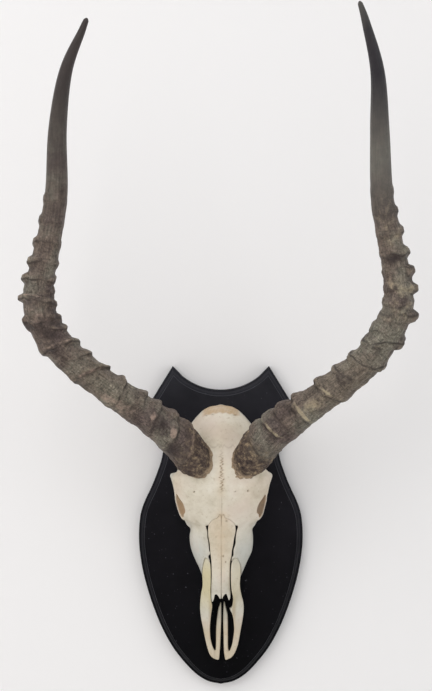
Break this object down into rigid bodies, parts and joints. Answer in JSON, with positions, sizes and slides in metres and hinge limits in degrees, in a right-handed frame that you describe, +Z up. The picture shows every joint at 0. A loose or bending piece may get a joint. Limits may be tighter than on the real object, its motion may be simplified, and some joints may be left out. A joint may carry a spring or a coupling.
{
  "type": "antelope skull and horns on a shield plaque",
  "caption": "Bleached antelope skull with long ringed lyre-shaped horns, screwed to a black wooden shield that hangs on a wall by a keyhole plate in its back.",
  "frame": {"origin": "middle of the shield's flat back, on the wall plane, below the middle of the back's height by about 2 mm", "axes": "+Z up, -Y out of the wall towards the viewer, so the wall is the plane Y = 0; +X to the viewer's right"},
  "size_m": [0.3996, 0.2537, 0.6983],
  "materials": {
    "black_paint": "satin black paint on wood, with a few scuffs",
    "bone": "bleached bone, matt, cream with tan sutures and stains",
    "horn": "weathered grey-brown horn, ringed and finely grooved, darker and smoother at the tips",
    "plated_steel": "yellow-zinc plated steel"
  },
  "bodies": {
    "root": {"shield": "black_paint", "skull": "bone", "nasal_left": "bone", "nasal_right": "bone", "premaxilla_left": "bone", "premaxilla_right": "bone", "horn_left": "horn", "horn_right": "horn", "hanger_plate": "plated_steel", "hanger_screw_left": "plated_steel", "hanger_screw_right": "plated_steel", "skull_screw_upper": "plated_steel", "skull_screw_lower": "plated_steel"}
  },
  "joints": []
}
